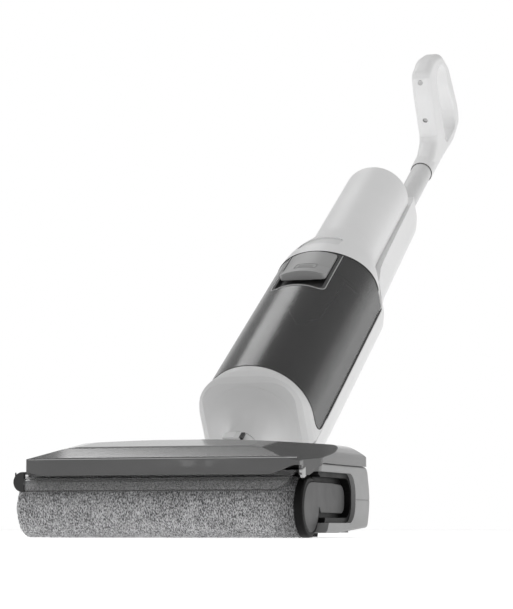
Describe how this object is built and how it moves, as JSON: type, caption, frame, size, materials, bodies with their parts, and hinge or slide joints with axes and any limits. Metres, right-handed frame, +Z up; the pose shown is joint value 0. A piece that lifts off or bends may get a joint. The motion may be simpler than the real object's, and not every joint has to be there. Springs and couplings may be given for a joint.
{
  "type": "wet dry floor scrubber",
  "caption": "Cordless wet and dry floor scrubber: smoked-cover roller head, gimbal neck, front dirty-water tank, rear clean-water tank, slim tube handle with a loop grip.",
  "frame": {"origin": "centre of the bounding box at floor level, with the machine leaning back as it does in use", "axes": "+X to the right of somebody who faces the machine's front; +Y from the front of the floor head back towards the handle; +Z up"},
  "size_m": [0.2812, 1.1046, 0.6203],
  "materials": {
    "body_plastic": "satin",
    "brass_metal": "satin",
    "clear_plastic": "clear",
    "dark_plastic": "satin",
    "filter_fabric": "woven",
    "pile_fabric": "woven",
    "side_plastic": "satin",
    "smoked_clear": "clear",
    "soft_rubber": "matte",
    "steel": "brushed",
    "tube_metal": "satin",
    "tyre_rubber": "matte"
  },
  "bodies": {
    "floor_head": {"head_base": "dark_plastic", "side_cover_right": "side_plastic", "side_cover_left": "side_plastic", "end_recess_liner": "dark_plastic", "inner_deck": "dark_plastic", "suction_duct": "dark_plastic", "scraper_blade": "soft_rubber", "spray_bar": "dark_plastic", "brush_motor": "steel", "drive_belt": "soft_rubber", "wheel_axles": "steel", "squeegee_strip": "soft_rubber", "charging_contacts": "brass_metal", "suction_hose": "soft_rubber"},
    "cover": {"top_cover": "smoked_clear", "splash_guard": "clear_plastic"},
    "cover_button": {"cover_latch": "body_plastic"},
    "left_wheel": {"wheel_left": "tyre_rubber"},
    "right_wheel": {"wheel_right": "tyre_rubber"},
    "roller_cartridge": {"end_cap": "dark_plastic", "pull_tab": "dark_plastic"},
    "roller": {"roller_core": "dark_plastic", "roller_pile": "pile_fabric", "drive_socket": "dark_plastic", "roller_bearing": "steel"},
    "drive_pulley_body": {"drive_pulley": "dark_plastic"},
    "motor_pulley_body": {"motor_pulley": "steel"},
    "neck": {"neck_yoke": "side_plastic", "neck_pins": "steel"},
    "upright": {"neck_tube": "body_plastic", "neck_shroud": "body_plastic", "lower_cap": "body_plastic", "rear_shell": "body_plastic", "upper_front_shell": "body_plastic", "vent_insert": "side_plastic", "handle_tube": "tube_metal", "handle_collar": "dark_plastic", "grip_body": "body_plastic", "grip_cover": "body_plastic", "grip_screws": "steel", "fan_motor": "dark_plastic", "fine_filter": "filter_fabric", "control_board": "dark_plastic", "battery_pack": "dark_plastic", "water_pump": "dark_plastic", "display_lens": "dark_plastic"},
    "waste_tank": {"dirty_tank": "smoked_clear", "latch_bezel": "body_plastic", "latch_spring": "steel", "tank_lid": "side_plastic", "lid_seal": "soft_rubber", "riser_pipe": "dark_plastic"},
    "tank_button": {"tank_latch": "body_plastic"},
    "float": {"tank_float": "dark_plastic"},
    "water_tank": {"clean_water_tank": "smoked_clear", "clean_tank_cap": "side_plastic"},
    "fan": {"impeller": "dark_plastic"},
    "power_key": {"power_button": "side_plastic"},
    "mode_key": {"mode_button": "side_plastic"},
    "self_clean_key": {"self_clean_button": "side_plastic"}
  },
  "joints": [
    {"name": "cover_lift", "type": "slide", "parent": "floor_head", "child": "cover", "axis": [0, 0, 1], "range_m": [0, 0.04]},
    {"name": "cover_latch_press", "type": "slide", "parent": "cover", "child": "cover_button", "axis": [0, 0, -1], "range_m": [0, 0.003], "stiffness_N_per_m": 400, "springref_m": -0.0005},
    {"name": "left_wheel_spin", "type": "hinge", "parent": "floor_head", "child": "left_wheel", "pos_m": [-0.089, -0.3879, 0.014], "axis": [1, 0, 0], "continuous": true},
    {"name": "right_wheel_spin", "type": "hinge", "parent": "floor_head", "child": "right_wheel", "pos_m": [0.089, -0.3879, 0.014], "axis": [1, 0, 0], "continuous": true},
    {"name": "roller_pull_out", "type": "slide", "parent": "floor_head", "child": "roller_cartridge", "axis": [1, 0, 0], "range_m": [0, 0.28]},
    {"name": "roller_spin", "type": "hinge", "parent": "roller_cartridge", "child": "roller", "pos_m": [0, -0.5189, 0.0265], "axis": [1, 0, 0], "continuous": true},
    {"name": "drive_pulley_spin", "type": "hinge", "parent": "floor_head", "child": "drive_pulley_body", "pos_m": [-0.134, -0.5189, 0.0265], "axis": [1, 0, 0], "continuous": true},
    {"name": "motor_pulley_spin", "type": "hinge", "parent": "floor_head", "child": "motor_pulley_body", "pos_m": [-0.134, -0.4569, 0.04], "axis": [1, 0, 0], "continuous": true},
    {"name": "neck_tilt", "type": "hinge", "parent": "floor_head", "child": "neck", "pos_m": [0, -0.3907, 0.039], "axis": [1, 0, 0], "range_deg": [-17, 56], "deforming": ["suction_hose"]},
    {"name": "neck_swivel", "type": "hinge", "parent": "neck", "child": "upright", "pos_m": [0, -0.35108, 0.06335], "axis": [0, -0.5235, 0.852], "range_deg": [-25, 25], "deforming": ["suction_hose"]},
    {"name": "waste_tank_lift", "type": "slide", "parent": "upright", "child": "waste_tank", "axis": [0, -0.5235, 0.852], "range_m": [0, 0.12]},
    {"name": "tank_latch_press", "type": "slide", "parent": "waste_tank", "child": "tank_button", "axis": [0, 0.5235, -0.852], "range_m": [0, 0.003], "stiffness_N_per_m": 500, "springref_m": -0.0005, "deforming": ["latch_spring"]},
    {"name": "float_rise", "type": "slide", "parent": "waste_tank", "child": "float", "axis": [0, 0.852, 0.5235], "range_m": [0, 0.03]},
    {"name": "water_tank_pull", "type": "slide", "parent": "upright", "child": "water_tank", "axis": [0, 0.5235, -0.852], "range_m": [0, 0.08]},
    {"name": "fan_spin", "type": "hinge", "parent": "upright", "child": "fan", "pos_m": [0, 0.05352, 0.31983], "axis": [0, 0.852, 0.5235], "continuous": true},
    {"name": "power_press", "type": "slide", "parent": "upright", "child": "power_key", "axis": [0, -0.5235, 0.852], "range_m": [0, 0.0012], "stiffness_N_per_m": 300, "springref_m": -0.0005},
    {"name": "mode_press", "type": "slide", "parent": "upright", "child": "mode_key", "axis": [0, -0.5235, 0.852], "range_m": [0, 0.0012], "stiffness_N_per_m": 300, "springref_m": -0.0005},
    {"name": "self_clean_press", "type": "slide", "parent": "upright", "child": "self_clean_key", "axis": [0, -0.5235, 0.852], "range_m": [0, 0.0012], "stiffness_N_per_m": 300, "springref_m": -0.0005}
  ],
  "couplings": [
    {"joint": "drive_pulley_spin", "follows": "roller_spin", "ratio": 1},
    {"joint": "motor_pulley_spin", "follows": "roller_spin", "ratio": 1.5556}
  ]
}
